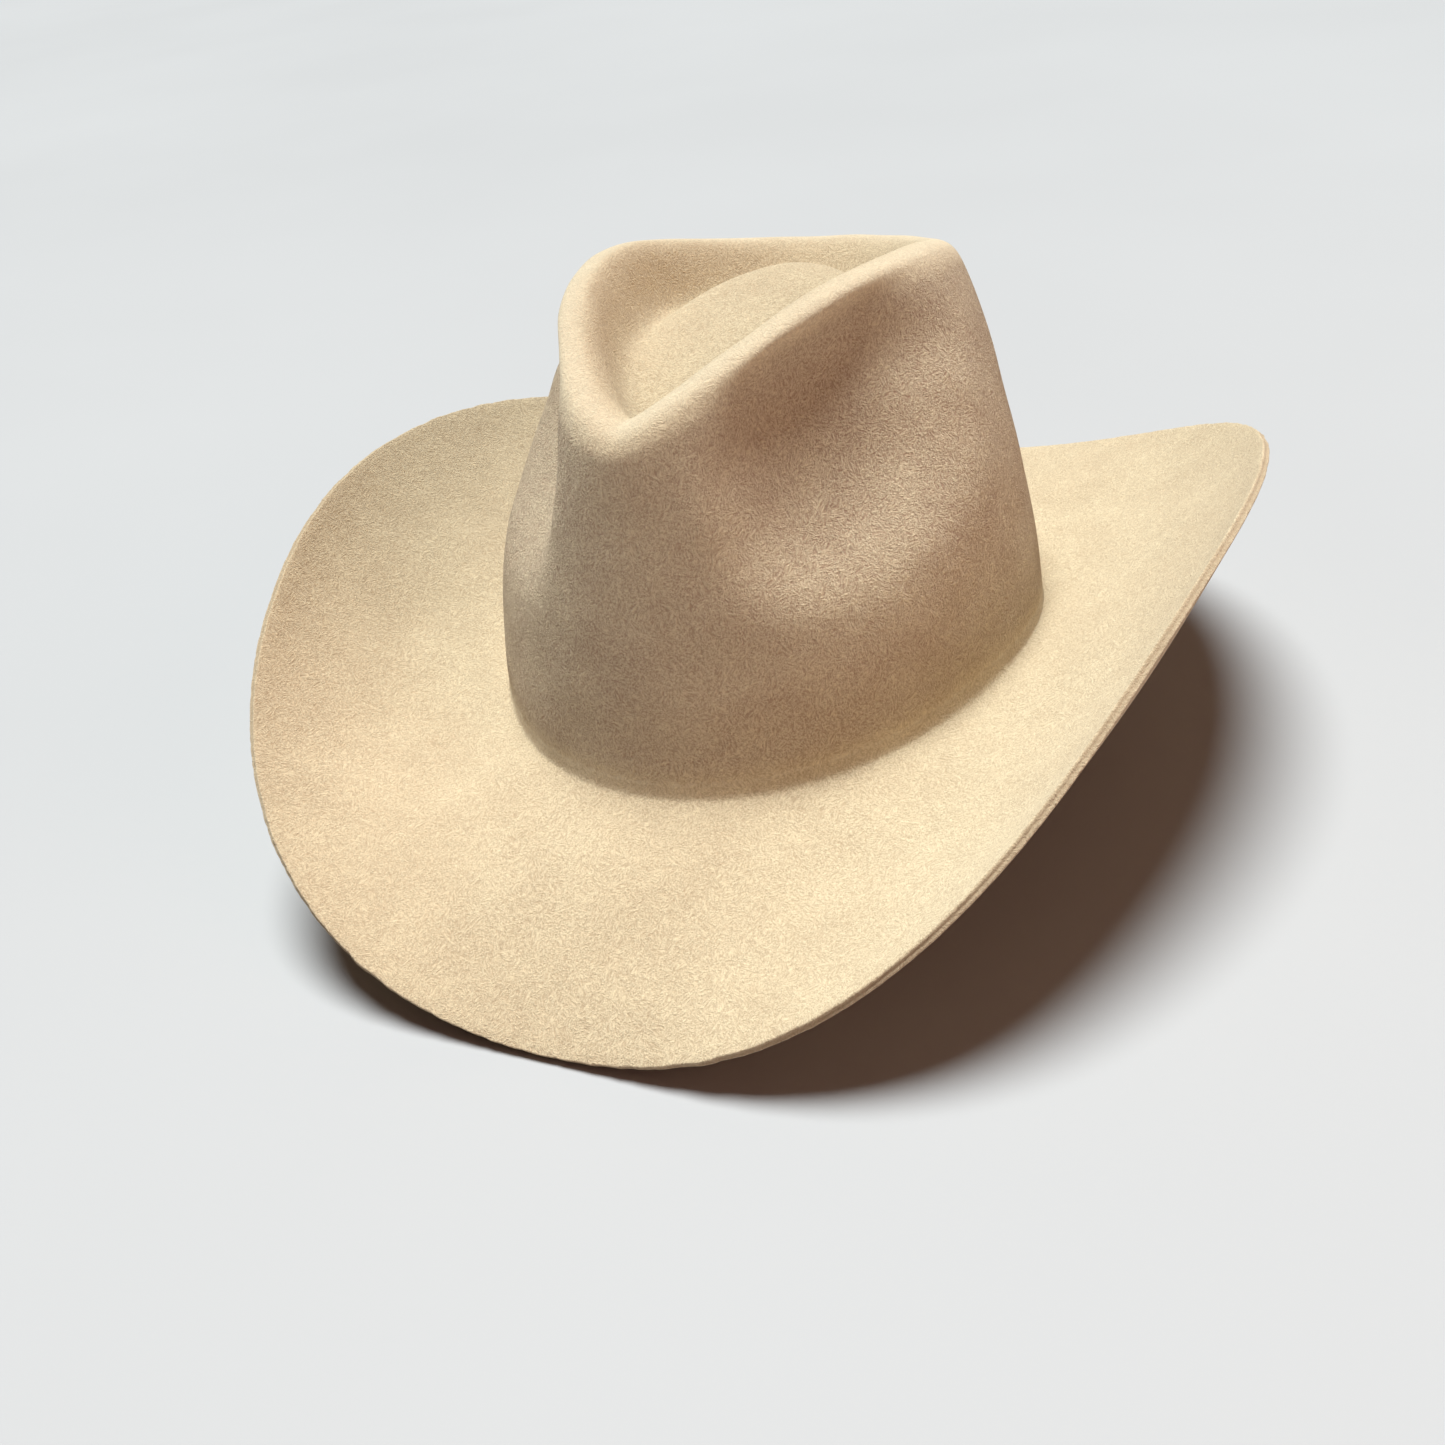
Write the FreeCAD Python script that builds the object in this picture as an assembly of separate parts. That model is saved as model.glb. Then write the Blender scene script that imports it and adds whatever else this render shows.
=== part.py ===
"""Western felt hat: one blocked felt shell, a reeded leather sweatband and a satin lining.

Frame: the origin is the middle of the head opening, level with the line where the crown
meets the brim.  +Z is up, the front of the hat faces -Y and the wearer's left is +X.
All sizes are in millimetres.  Each piece of the hat is written to parts/NAME.step.
"""
import FreeCAD, Part
import math
import os

os.makedirs("parts", exist_ok=True)
V = FreeCAD.Vector

# A value given as five stations is spaced evenly from the front of the hat to the back:
# front, front quarter, side, back quarter, back.  Left and right are alike.

# ---- felt shell: head opening, measured on the outer face ----
FELT = 2.8
HEAD_HALF_LENGTH = 103.0
HEAD_HALF_WIDTH = 90.0
EGG = 0.03                                    # the opening is widest a little behind the middle
BREAK_HEIGHT = (-6.0, -3.0, 2.5, -2.0, -4.0)  # the line where crown meets brim rises at the sides
# ---- felt shell: brim ----
BRIM_WIDTH = (85.0, 90.0, 87.0, 91.0, 91.0)
BRIM_ROOT_SLOPE = (-16.0, -18.0, 17.0, 5.0, -5.0)     # degrees above level at the crown
BRIM_EDGE_SLOPE = (-45.0, 51.0, 64.0, 40.0, -7.0)     # degrees above level at the cut edge
BRIM_BEND = 1.2                                       # above 1, more of the curl is near the edge
# ---- felt shell: crown ----
RIDGE_HALF_LENGTH = 88.2       # teardrop ridge seen from above, its blunted point at the front
RIDGE_HALF_WIDTH = 60.2
RIDGE_PINCH = 0.71
RIDGE_SHIFT = 1.7
RIDGE_BLUNT, RIDGE_BLUNT_SPREAD = 7.0, 0.42
RIDGE_HEIGHT = (103.5, 115.0, 125.3, 113.7, 107.2)
RIDGE_ROUND = 7.2              # the rounded fold stands this far outside the ridge line
FOLD_OUT, FOLD_DROP = 4.2, 3.8 # from there the wall starts this much further out and down
WALL_TAPER = (1.25, 1.60, 1.84, 1.84, 1.84)   # above 1, the wall leans in more near the top
DENT_DEPTH = 20.0              # bowl pressed into each front side of the crown
DENT_ANGLE, DENT_LEVEL = 59.5, 0.719                  # its middle, in degrees and up the wall
DENT_FRONT, DENT_BACK, DENT_BELOW, DENT_ABOVE = 42.0, 43.0, 32.5, 34.0    # its half sizes
DENT_BACK_HIGH, DENT_SQUARE = 6.0, 0.9                # the upper half runs further back and is fuller
DENT_LIP, DENT_FADE, DENT_TILT = 0.09, 0.50, 0.25     # crisp lip below, soft fade above
CREASE_DEPTH = (15.0, 18.0, 23.0, 15.0, 9.0)          # valley below the ridge
DOME_CENTRE, DOME_HEIGHT, DOME_SLOPE = 8.0, 105.0, 0.21

# ---- lining pieces: distance in from the outer face of the felt ----
REED_R, REED_IN = 0.9, 4.7
TAPE, TAPE_IN, TAPE_TOP = 0.4, 3.5, 11.0
LEATHER, LEATHER_IN, LEATHER_LOW, LEATHER_TOP = 1.2, 5.0, 1.7, 50.0
LEATHER_LEAN = 1.6                            # the free top edge leans in by this much
SATIN, LINER_IN, LINER_LOW, LINER_TOP = 0.5, 3.55, 13.0, 76.0
LINER_TOP_IN = 7.0
PIPING_R = 1.4
TIP_RISE, TIP_FLAT = 2.6, 0.60
VINYL, VINYL_HALF_LENGTH, VINYL_HALF_WIDTH, VINYL_BACK = 0.4, 41.0, 27.0, 19.0
STITCH_R, STITCH_LONG, STITCH_COUNT, STITCH_UP = 0.28, 2.9, 138, 4.5
SEAM_WIDE, SEAM_LOW, SEAM_TOP = 14.0, 3.0, 47.5
RIBBON, RIBBON_WIDE, BOW_HALF, BOW_UP, TAIL = 0.5, 6.5, 14.0, 15.0, 13.0
TAG, TAG_WIDE, TAG_LOW, TAG_TOP, TAG_ANGLE = 0.25, 20.0, 42.0, 63.0, 152.0

N = 48                                        # control points round every closed loop
LOOP_SAG = 0.3                                # a loop's surface lies this far inside its points
ANGLES = [2.0 * math.pi * i / N for i in range(N)]


def around(stations, t):
    """Smooth even curve through stations spaced evenly from front (t = 0) to back (t = pi)."""
    n = len(stations) - 1
    total = 0.0
    for k in range(n + 1):
        c = 0.0
        for j in range(n + 1):
            c += stations[j] * math.cos(math.pi * j * k / n) * (0.5 if j in (0, n) else 1.0)
        total += c * 2.0 / n * math.cos(k * t) * (0.5 if k in (0, n) else 1.0)
    return total


def break_line(t):
    """Point on the crown-to-brim line and the level direction pointing away from the head."""
    s, c = math.sin(t), math.cos(t)
    p = (HEAD_HALF_WIDTH * s * (1.0 - EGG * c), -HEAD_HALF_LENGTH * c, around(BREAK_HEIGHT, t))
    n = (HEAD_HALF_LENGTH * s, -HEAD_HALF_WIDTH * c)
    q = math.hypot(*n)
    return p, (n[0] / q, n[1] / q)


def ridge(t):
    s, c = math.sin(t), math.cos(t)
    turn = min(t % (2 * math.pi), 2 * math.pi - t % (2 * math.pi))
    x = RIDGE_HALF_WIDTH * s * abs(math.sin(t / 2.0)) ** RIDGE_PINCH if s else 0.0
    y = RIDGE_SHIFT - RIDGE_HALF_LENGTH * c
    y += RIDGE_BLUNT * math.exp(-(turn / RIDGE_BLUNT_SPREAD) ** 2)
    return x, y, around(RIDGE_HEIGHT, t)


def dent(t, w):
    """Depth of the pressed bowl: a shallow dish with a crisp lower lip."""
    turn = min(t % (2 * math.pi), 2 * math.pi - t % (2 * math.pi))
    up = 118.0 * (w - DENT_LEVEL)
    along = 85.0 * (turn - math.radians(DENT_ANGLE)) - DENT_TILT * up
    high = min(1.0, max(0.0, up / 14.0))
    high = high * high * (3.0 - 2.0 * high)
    a = along / (DENT_FRONT if along < 0 else DENT_BACK + DENT_BACK_HIGH * high)
    b = up / (DENT_BELOW if up < 0 else DENT_ABOVE)
    square = 2.0 + DENT_SQUARE * high
    full = 1.0 - abs(a) ** square - abs(b) ** square
    soft = DENT_LIP + (DENT_FADE * b * b if up > 0 else 0.0)
    return DENT_DEPTH * 0.5 * (full + math.hypot(full, soft))


def wall(t, w):
    """Outer face of the crown wall; w runs from 0 at the brim to 1 just under the fold."""
    (bx, by, bz), (nx, ny) = break_line(t)
    rx, ry, rz = ridge(t)
    lean = max(w, 0.0) ** around(WALL_TAPER, t)
    out = RIDGE_ROUND + FOLD_OUT
    x = bx + (rx + nx * out - bx) * lean
    y = by + (ry + ny * out - by) * lean
    z = bz + (rz - FOLD_DROP - bz) * w
    g = dent(t, w)
    return x - nx * g, y - ny * g, z


def crown_rows():
    """Control rows from the middle of the dome, over the ridge and down to the brim."""
    rows = []
    steps = ((0.10, 0, 0), (0.18, 0, 0), (0.40, 0, 0), (0.60, 1, 0.75), (0.71, 2, 0.0),
             (0.79, 2, 0.10), (0.85, 2, 0.52), (0.90, 2, 0.88), (0.95, 2, 1.06), (1.00, 3, 0.0))
    for k, kind, a in steps:
        row = []
        for t in ANGLES:
            rx, ry, rz = ridge(t)
            y = DOME_CENTRE + (ry - DOME_CENTRE) * k
            dome = DOME_HEIGHT - (1.5 if k == 0.40 else 0.0) + DOME_SLOPE * (y - DOME_CENTRE)
            deep = around(CREASE_DEPTH, t)
            valley = rz - deep - (1.0 if k == 0.71 else 0.0)
            z = (dome, valley + a * (dome - valley), valley + a * deep, rz + 1.5)[kind]
            row.append((rx * k, y, z))
        rows.append(row)
    row = []
    for t in ANGLES:
        rx, ry, rz = ridge(t)
        nx, ny = break_line(t)[1]
        row.append((rx + nx * RIDGE_ROUND, ry + ny * RIDGE_ROUND, rz + 0.5))
    rows.append(row)
    for w in [1.0] + [0.95 - 0.07 * i for i in range(13)]:
        rows.append([wall(t, w) for t in ANGLES])
    rows.append([wall(t, 0.05) for t in ANGLES])
    return rows


def brim_rows():
    """Control rows from the break line out to the cut edge."""
    steps = 40
    columns = []
    for t in ANGLES:
        (bx, by, bz), (nx, ny) = break_line(t)
        wide = around(BRIM_WIDTH, t)
        a0, a1 = around(BRIM_ROOT_SLOPE, t), around(BRIM_EDGE_SLOPE, t)
        out, up, path = 0.0, 0.0, [(0.0, 0.0)]
        for j in range(steps):
            a = math.radians(a0 + (a1 - a0) * ((j + 0.5) / steps) ** BRIM_BEND)
            out += math.cos(a) * wide / steps
            up += math.sin(a) * wide / steps
            path.append((out, up))
        column = [(bx, by, bz), (bx + nx, by + ny, bz - 0.3)]
        for s in (0.05, 0.18, 0.36, 0.54, 0.72, 0.88, 1.0):
            i = min(int(s * steps), steps - 1)
            f = s * steps - i
            h = path[i][0] * (1 - f) + path[i + 1][0] * f
            v = path[i][1] * (1 - f) + path[i + 1][1] * f
            column.append((bx + nx * h, by + ny * h, bz + v))
        columns.append(column)
    return [[c[r] for c in columns] for r in range(len(columns[0]))]


def unit(v):
    q = math.sqrt(sum(c * c for c in v)) or 1.0
    return [c / q for c in v]


def inner_rows(rows, depth):
    """The same control rows moved through the thickness, square to the outer face."""
    result = []
    last = len(rows) - 1
    for r, row in enumerate(rows):
        moved = []
        for i in range(N):
            p = row[i]
            before = unit([a - b for a, b in zip(p, rows[r - 1][i])]) if r else None
            after = unit([a - b for a, b in zip(rows[r + 1][i], p)]) if r < last else None
            before, after = before or after, after or before
            down = unit([a + b for a, b in zip(before, after)])
            side = [a - b for a, b in zip(row[(i + 1) % N], row[i - 1])]
            n = unit([down[1] * side[2] - down[2] * side[1],
                      down[2] * side[0] - down[0] * side[2],
                      down[0] * side[1] - down[1] * side[0]])
            miter = max(0.8, math.sqrt(0.5 + 0.5 * sum(a * b for a, b in zip(before, after))))
            moved.append(tuple(a - b * depth / miter for a, b in zip(p, n)))
        result.append(moved)
    return result


def loop_skin(rows, closed=False):
    """Surface over closed control loops, smooth round the hat and, with 4 rows or more, across."""
    count = len(rows)
    across = 3 if count > 3 else 1
    surface = Part.BSplineSurface()
    poles = [[V(*p) for p in row] for row in rows]
    if closed:
        cross = ([1] * (count + 1), [float(i) for i in range(count + 1)])
    else:
        spans = count - across
        cross = ([across + 1] + [1] * (spans - 1) + [across + 1], [float(i) for i in range(spans + 1)])
    surface.buildFromPolesMultsKnots(poles, cross[0], [1] * (N + 1), cross[1],
                                     [float(i) for i in range(N + 1)], closed, True, across, 3)
    return surface.toShape()


def disc(row):
    """Flat face inside a closed control loop that lies in one plane."""
    curve = Part.BSplineCurve()
    curve.buildFromPolesMultsKnots([V(*p) for p in row], [1] * (N + 1),
                                   [float(i) for i in range(N + 1)], True, 3)
    return Part.Face(Part.Wire([curve.toShape()]))


def solid(faces):
    shell = Part.makeShell(faces)
    if len(faces) > 1:
        shell.sewShape()
    made = Part.makeSolid(shell if shell.ShapeType == "Shell" else shell.Shells[0])
    if made.Volume < 0:
        made.reverse()
    return made


def level(t, h):
    """Height of a lining line: it follows the break line low down and is flat at the tip."""
    bz = break_line(t)[0][2]
    return h + bz * (1.0 - (max(h, 0.0) / LINER_TOP) ** 4)


def inside(t, depth, h):
    """Point a given depth in from the outer face of the wall, at lining height h."""
    def face(a, z):
        bz = break_line(a)[0][2]
        return wall(a, (z - bz) / (ridge(a)[2] - FOLD_DROP - bz))[:2]
    z = level(t, h)
    (x, y), e = face(t, z), 0.01
    tx, ty = (a - b for a, b in zip(face(t + e, z), face(t - e, z)))
    q = math.hypot(tx, ty)
    nx, ny = ty / q, -tx / q
    rise = [a - b for a, b in zip(face(t, z + 0.5), face(t, z - 0.5))]
    lean = rise[0] * nx + rise[1] * ny
    out = depth * min(1.8, math.sqrt(1.0 + lean * lean))
    return x - nx * out, y - ny * out, z


def thicken(path, thick):
    """Two parallel lines either side of a section path of (depth, height) points."""
    left, right = [], []
    for i, (d, h) in enumerate(path):
        a, b = path[max(i - 1, 0)], path[min(i + 1, len(path) - 1)]
        td, th = b[0] - a[0], b[1] - a[1]
        q = math.hypot(td, th)
        left.append((d - th / q * thick / 2, h + td / q * thick / 2))
        right.append((d + th / q * thick / 2, h - td / q * thick / 2))
    return left, right


def band(path, thick):
    """Thin band running right round the inside of the crown, with the section path given."""
    sides = [[[inside(t, d, h) for t in ANGLES] for d, h in line] for line in thicken(path, thick)]
    ends = [[sides[0][i], sides[1][i]] for i in (0, -1)]
    return solid([loop_skin(rows) for rows in sides + ends])


def patch_skin(rows):
    """Open surface over a grid of control points."""
    surface = Part.BSplineSurface()
    knots, mults, degrees = [], [], []
    for count in (len(rows), len(rows[0])):
        degree = 3 if count > 3 else 1
        spans = count - degree
        degrees.append(degree)
        mults.append([degree + 1] + [1] * (spans - 1) + [degree + 1])
        knots.append([float(i) for i in range(spans + 1)])
    surface.buildFromPolesMultsKnots([[V(*p) for p in row] for row in rows], mults[0], mults[1],
                                     knots[0], knots[1], False, False, degrees[0], degrees[1])
    return surface.toShape()


def strip(path, thick, angle, wide, stations=7):
    """Short length of tape or cloth lying inside the crown, centred on one angle."""
    x0, y0, _ = inside(angle - 0.01, path[0][0], path[0][1])
    x1, y1, _ = inside(angle + 0.01, path[0][0], path[0][1])
    half = wide / 2.0 / (math.hypot(x1 - x0, y1 - y0) / 0.02)
    turns = [angle + half * (2.0 * i / (stations - 1) - 1.0) for i in range(stations)]
    left, right = [[[inside(t, d, h) for t in turns] for d, h in line] for line in thicken(path, thick)]
    faces = [left, right, [left[0], right[0]], [left[-1], right[-1]]]
    faces += [[[row[i] for row in left], [row[i] for row in right]] for i in (0, -1)]
    return solid([patch_skin(rows) for rows in faces])


def cord_ring(radius, depth, h, sides=8):
    """Round cord running right round the inside of the crown."""
    grow = radius * 3.0 / (2.0 + math.cos(2.0 * math.pi / sides))
    spine = [inside(t, depth, h) for t in ANGLES]
    rows = []
    for k in range(sides):
        a = 2.0 * math.pi * k / sides
        row = []
        for i, (x, y, z) in enumerate(spine):
            p, q = spine[i - 1], spine[(i + 1) % N]
            m = math.hypot(q[0] - p[0], q[1] - p[1])
            out = grow * math.cos(a)
            row.append((x - (q[1] - p[1]) / m * out, y + (q[0] - p[0]) / m * out, z + grow * math.sin(a)))
        rows.append(row)
    return solid([loop_skin(rows, closed=True)])


pieces = {}

# Crown and brim: one piece of felt, blocked to shape, with a square raw-cut edge.
outer = crown_rows() + brim_rows()
inner = inner_rows(outer, FELT)
pieces["felt_body"] = solid([
    loop_skin(outer), loop_skin(inner), loop_skin([outer[-1], inner[-1]]),
    disc(outer[0]), disc(inner[0])])

# Leather sweatband standing inside the head opening.
def leather_in(h):
    return LEATHER_IN + LEATHER_LEAN * max(0.0, (h - 30.0) / (LEATHER_TOP - 30.0)) ** 2


heights = [LEATHER_LOW + (LEATHER_TOP - LEATHER_LOW) * k / 9.0 for k in range(10)]
pieces["sweatband"] = band([(leather_in(h), h) for h in heights], LEATHER)

# Plastic reed at its lower edge, in a folded cloth tape whose flange runs up behind the leather.
pieces["sweatband_reed"] = cord_ring(REED_R, REED_IN, 0.0)
fold = REED_IN - TAPE_IN
tape_path = [(TAPE_IN, TAPE_TOP), (TAPE_IN, 7.5), (TAPE_IN, 4.0), (TAPE_IN, 1.6)]
for k in range(11):
    a = math.radians(180.0 + 26.0 * k)
    tape_path.append((REED_IN + fold * math.cos(a), fold * math.sin(a)))
pieces["reed_tape"] = band(tape_path, TAPE)

# Lock stitches through the leather, just above the reed.
stitches = []
face_in = LEATHER_IN + LEATHER / 2 + STITCH_R + LOOP_SAG + 0.05
for k in range(STITCH_COUNT):
    t = 2.0 * math.pi * (k + 0.5) / STITCH_COUNT
    p = V(*inside(t, face_in, STITCH_UP))
    q = V(*inside(t + 0.01, face_in, STITCH_UP))
    along = (q - p).normalize()
    stitches.append(Part.makeCylinder(STITCH_R, STITCH_LONG, p - along * (STITCH_LONG / 2), along))
pieces["sweatband_stitching"] = Part.makeCompound(stitches)

# Cloth tape over the butted ends of the leather at the back.
seam_in = LEATHER_IN + LEATHER / 2 + 0.25 + LOOP_SAG
seam_path = [(seam_in + 0.8, h) for h in (SEAM_LOW, 6.0, 9.0)]
seam_path += [(seam_in - LEATHER_IN + leather_in(h), h) for h in (13.0, 20.0, 27.0, 34.0, 41.0, SEAM_TOP)]
pieces["sweatband_seam_tape"] = strip(seam_path, 0.4, math.pi, SEAM_WIDE)

# Small ribbon bow sewn over the tape: a knot, two folded loops and two tails.
bow_y = inside(math.pi, seam_in + 0.35, BOW_UP)[1]
bow_z = level(math.pi, BOW_UP)
bend = HEAD_HALF_WIDTH ** 2 / HEAD_HALF_LENGTH
bow = Part.makeBox(5.0, 4.0, 6.0, V(-2.5, bow_y - 4.0, bow_z - 3.0))
bow = bow.makeFillet(1.2, bow.Edges)
for side in (-1, 1):
    fold_line = []
    for k in range(17):
        a = math.pi * k / 16.0
        x = 1.0 + (BOW_HALF - 1.0) * math.sin(a) ** 0.8
        y = -2.3 - x * x / 2.0 / bend + math.cos(a) * (0.7 + 1.5 * math.sin(a) ** 2)
        fold_line.append((x, y))
    left, right = thicken(fold_line, RIBBON)
    outline = left + right[::-1]
    wire = Part.makePolygon([V(side * x, bow_y + y, bow_z - RIBBON_WIDE / 2)
                             for x, y in outline + outline[:1]])
    bow = bow.fuse(Part.Face(wire).extrude(V(0, 0, RIBBON_WIDE)))
    tail = Part.makeBox(RIBBON_WIDE, RIBBON, TAIL, V(-RIBBON_WIDE / 2, 0, -TAIL))
    tail.rotate(V(0, 0, 0), V(0, 1, 0), -side * 32.0)
    tail.translate(V(0, bow_y - (2.9 if side > 0 else 2.2), bow_z + 1.0))
    bow = bow.fuse(tail)
pieces["sweatband_bow"] = bow.removeSplitter()

# Satin lining: side wall tucked behind the sweatband, oval tip, and piping where they meet.
side_path = []
for k in range(10):
    u = k / 9.0
    h = LINER_LOW + (LINER_TOP - LINER_LOW) * u
    side_path.append((LINER_IN + (LINER_TOP_IN - LINER_IN) * max(0.0, (u - 0.62) / 0.38) ** 1.5, h))
pieces["liner_side"] = band(side_path, SATIN)
pieces["liner_piping"] = cord_ring(PIPING_R, LINER_TOP_IN + SATIN / 2 + PIPING_R + 0.25,
                                   LINER_TOP - PIPING_R - 0.1)


def tip_rows(lift):
    rim = [inside(t, LINER_TOP_IN, LINER_TOP) for t in ANGLES]
    rows = []
    for k in (0.10, 0.25, 0.42, 0.60, 0.72, 0.84, 0.94, 1.0):
        up = TIP_RISE * min(1.0, (1.0 - k) / (1.0 - TIP_FLAT))
        rows.append([(x * k, VINYL_BACK + (y - VINYL_BACK) * k, z + lift + up) for x, y, z in rim])
    return rows


low, high = tip_rows(0.15), tip_rows(0.15 + SATIN)
pieces["liner_tip"] = solid([loop_skin(low), loop_skin(high), loop_skin([low[-1], high[-1]]),
                             disc(low[0]), disc(high[0])])

# Clear oval sewn under the tip to keep it clean.
vinyl_z = LINER_TOP + TIP_RISE + 0.15 - VINYL - 0.15
oval = Part.Ellipse(V(0, 0, 0), VINYL_HALF_LENGTH, VINYL_HALF_WIDTH).toShape()
oval.rotate(V(0, 0, 0), V(0, 0, 1), 90.0)
oval.translate(V(0, VINYL_BACK, vinyl_z))
pieces["tip_protector"] = Part.Face(Part.Wire([oval])).extrude(V(0, 0, VINYL))

# Blank size tag, its lower half tucked behind the leather.
gap_in = (LINER_IN + SATIN / 2 + LEATHER_IN - LEATHER / 2) / 2.0 + LOOP_SAG
tag_path = [(gap_in, TAG_LOW), (gap_in, 48.0), (gap_in, 53.5), (gap_in + 0.4, 56.5),
            (gap_in + 1.3, 59.5), (gap_in + 2.8, TAG_TOP)]
pieces["size_tag"] = strip(tag_path, TAG, math.radians(TAG_ANGLE), TAG_WIDE)

for name, shape in pieces.items():
    shape.exportStep("parts/" + name + ".step")
    box = shape.BoundBox
    print("%-20s valid %s solids %d volume %.0f  x %.1f..%.1f y %.1f..%.1f z %.1f..%.1f" % (
        name, shape.isValid(), len(shape.Solids), shape.Volume,
        box.XMin, box.XMax, box.YMin, box.YMax, box.ZMin, box.ZMax))
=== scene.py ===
"""Western felt hat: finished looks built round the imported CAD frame.

Row frame: origin in the middle of the head opening, +Z up as worn, front towards -Y,
wearer's left +X.  Dimensions below are in millimetres; meshes are written in metres.
"""
import math

import bpy
import numpy as np
from mathutils import Matrix, Vector


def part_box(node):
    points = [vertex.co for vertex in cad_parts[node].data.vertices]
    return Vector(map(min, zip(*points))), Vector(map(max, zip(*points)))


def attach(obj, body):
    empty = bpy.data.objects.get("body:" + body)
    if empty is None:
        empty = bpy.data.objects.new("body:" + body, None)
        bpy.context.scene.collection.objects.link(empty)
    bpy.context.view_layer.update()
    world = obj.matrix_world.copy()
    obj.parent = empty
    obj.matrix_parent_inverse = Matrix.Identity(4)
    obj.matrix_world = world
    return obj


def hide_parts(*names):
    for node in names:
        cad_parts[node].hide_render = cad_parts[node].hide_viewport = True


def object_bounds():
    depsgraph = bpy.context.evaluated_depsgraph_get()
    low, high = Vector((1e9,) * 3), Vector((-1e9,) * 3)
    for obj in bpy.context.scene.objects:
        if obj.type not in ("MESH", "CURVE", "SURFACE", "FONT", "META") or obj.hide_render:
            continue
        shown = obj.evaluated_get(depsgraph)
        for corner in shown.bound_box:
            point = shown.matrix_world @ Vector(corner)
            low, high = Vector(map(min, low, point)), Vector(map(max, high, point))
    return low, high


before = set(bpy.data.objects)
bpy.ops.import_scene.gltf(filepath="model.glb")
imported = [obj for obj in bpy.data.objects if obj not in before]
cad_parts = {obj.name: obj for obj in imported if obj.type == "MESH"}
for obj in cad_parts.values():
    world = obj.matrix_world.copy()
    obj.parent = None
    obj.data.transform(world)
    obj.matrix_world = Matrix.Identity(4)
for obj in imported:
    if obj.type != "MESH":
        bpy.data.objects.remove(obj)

CAD_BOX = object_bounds()
MM = 0.001

# ------------------------------------------------------------------ dimensions, as in the CAD
# Five stations run from the front of the hat to the back.
FELT = 2.8
HEAD_HALF_LENGTH, HEAD_HALF_WIDTH, EGG = 103.0, 90.0, 0.03
BREAK_HEIGHT = (-6.0, -3.0, 2.5, -2.0, -4.0)
BRIM_WIDTH = (85.0, 90.0, 87.0, 91.0, 91.0)
BRIM_ROOT_SLOPE = (-16.0, -18.0, 17.0, 5.0, -5.0)
BRIM_EDGE_SLOPE = (-45.0, 51.0, 64.0, 40.0, -7.0)
BRIM_BEND = 1.2
RIDGE_HALF_LENGTH, RIDGE_HALF_WIDTH, RIDGE_PINCH, RIDGE_SHIFT = 88.2, 60.2, 0.71, 1.7
RIDGE_BLUNT, RIDGE_BLUNT_SPREAD = 7.0, 0.42
RIDGE_HEIGHT = (103.5, 115.0, 125.3, 113.7, 107.2)
RIDGE_ROUND, FOLD_OUT, FOLD_DROP = 7.2, 4.2, 3.8
WALL_TAPER = (1.25, 1.60, 1.84, 1.84, 1.84)
DENT_DEPTH, DENT_ANGLE, DENT_LEVEL = 20.0, 59.5, 0.719
DENT_FRONT, DENT_BACK, DENT_BELOW, DENT_ABOVE = 42.0, 43.0, 32.5, 34.0
DENT_BACK_HIGH, DENT_SQUARE, DENT_BLEND = 6.0, 0.9, 14.0
DENT_LIP, DENT_FADE, DENT_TILT = 0.09, 0.50, 0.25
CREASE_DEPTH = (15.0, 18.0, 23.0, 15.0, 9.0)
DOME_CENTRE, DOME_HEIGHT, DOME_SLOPE = 8.0, 105.0, 0.21
REED_IN, TAPE, TAPE_IN, TAPE_TOP = 4.7, 0.4, 3.5, 11.0
LEATHER, LEATHER_IN, LEATHER_LOW, LEATHER_TOP = 1.2, 5.0, 1.7, 50.0
LEATHER_LEAN, LEATHER_LEAN_FROM = 1.6, 30.0
SATIN, LINER_IN, LINER_LOW, LINER_TOP, LINER_TOP_IN = 0.5, 3.55, 13.0, 76.0, 7.0
PIPING_R, TIP_RISE, TIP_FLAT, TIP_CENTRE = 1.4, 2.6, 0.60, 14.0
STITCH_R, STITCH_LONG, STITCH_COUNT, STITCH_UP = 0.28, 2.9, 138, 4.5
ZIG_COUNT, ZIG_LOW, ZIG_RISE, ZIG_WIDE, ZIG_R = 22, 17.5, 1.45, 2.6, 0.2
SEAM_WIDE, SEAM_LOW, SEAM_TOP = 14.0, 3.0, 47.5
TAG, TAG_WIDE, TAG_LOW, TAG_TOP, TAG_ANGLE = 0.25, 20.0, 42.0, 63.0, 152.0
SATIN_LOOK, TAG_LOOK = SATIN * 0.8, TAG * 0.9      # drawn thinner, to stay clear once gathered or bent
CAGE = 48                                    # control points round each loop of the felt
RIDGE_ROW, BREAK_ROW = 0.266, 0.765          # folded ridge and break line, as shares of the loops
WALL_UP, WALL_ALONG = 118.0, 85.0            # the wall's height, and its length per radian, at the dent
HEAD_RADIUS, BACK_RADIUS = 93.0, 97.0        # length per radian inside the crown, and at its back
FULL_TURN = 2 * math.pi

rng = np.random.default_rng(7)


# ------------------------------------------------------------------ the hat's shape
def turns(count):
    """Angles round the hat from the front, evenly spaced."""
    return np.arange(count) * 2 * math.pi / count


def from_front(t):
    """Angle from the front of the hat, the same on both sides."""
    return np.minimum(t % FULL_TURN, FULL_TURN - t % FULL_TURN)


def smooth(x):
    """Ease from 0 to 1 over the same range."""
    return x * x * (3.0 - 2.0 * x)


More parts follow.
